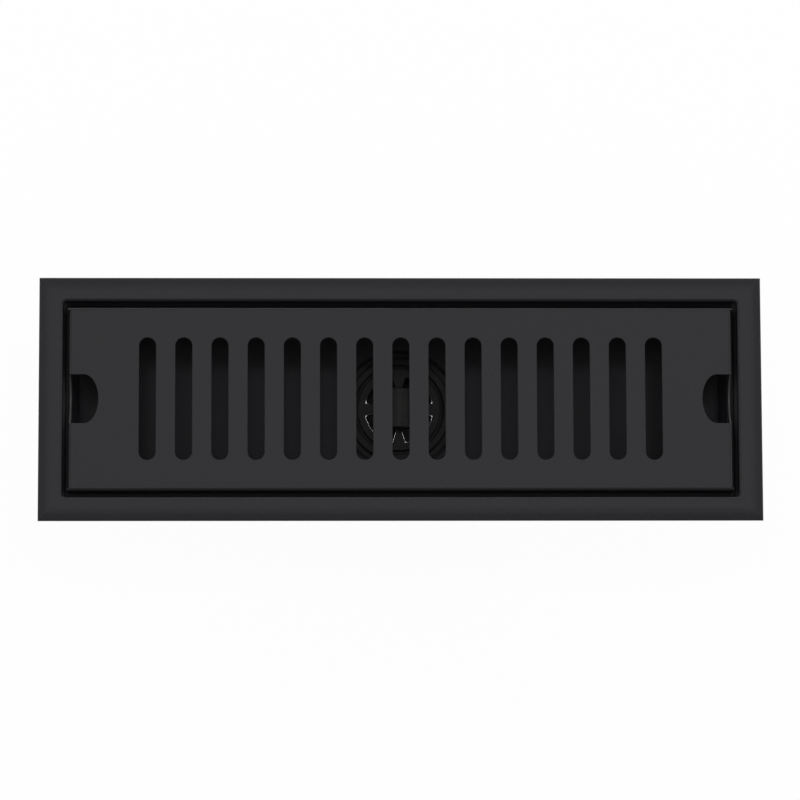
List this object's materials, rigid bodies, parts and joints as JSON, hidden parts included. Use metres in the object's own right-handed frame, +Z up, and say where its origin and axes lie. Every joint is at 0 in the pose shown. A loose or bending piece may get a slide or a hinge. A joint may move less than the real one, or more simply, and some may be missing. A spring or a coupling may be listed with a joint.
{
  "type": "floor drain grille",
  "caption": "Matt black rectangular floor drain with a lift-out slotted grate, a sloping sump, a round pipe spigot and a spring-closed odour trap.",
  "frame": {"origin": "centre of the spigot's lower end", "axes": "+X along the grate, +Z up, out of the floor"},
  "size_m": [0.3, 0.1014, 0.072],
  "materials": {
    "tray_coat": "matt black coat on steel sheet",
    "cover_coat": "matt black coat on steel sheet",
    "spigot_coat": "matt black coat on steel tube",
    "trap_plastic": "glossy black",
    "grip_plastic": "satin black",
    "valve_plastic": "satin black",
    "seal_rubber": "matt black",
    "spring_steel": "bright wire"
  },
  "bodies": {
    "drain": {"tray": "tray_coat", "outlet_spigot": "spigot_coat", "grate_cover": "cover_coat", "trap_gasket": "seal_rubber", "trap_sleeve": "trap_plastic", "trap_insert": "trap_plastic", "grip_cap": "grip_plastic", "valve_spring": "spring_steel"},
    "valve": {"valve_plunger": "valve_plastic", "valve_washer": "seal_rubber", "stem_clip": "spring_steel"}
  },
  "joints": [
    {"name": "valve_slide", "type": "slide", "parent": "drain", "child": "valve", "axis": [0, 0, -1], "range_m": [0, 0.006], "stiffness_N_per_m": 50, "springref_m": -0.004, "deforming": ["valve_spring"]}
  ]
}
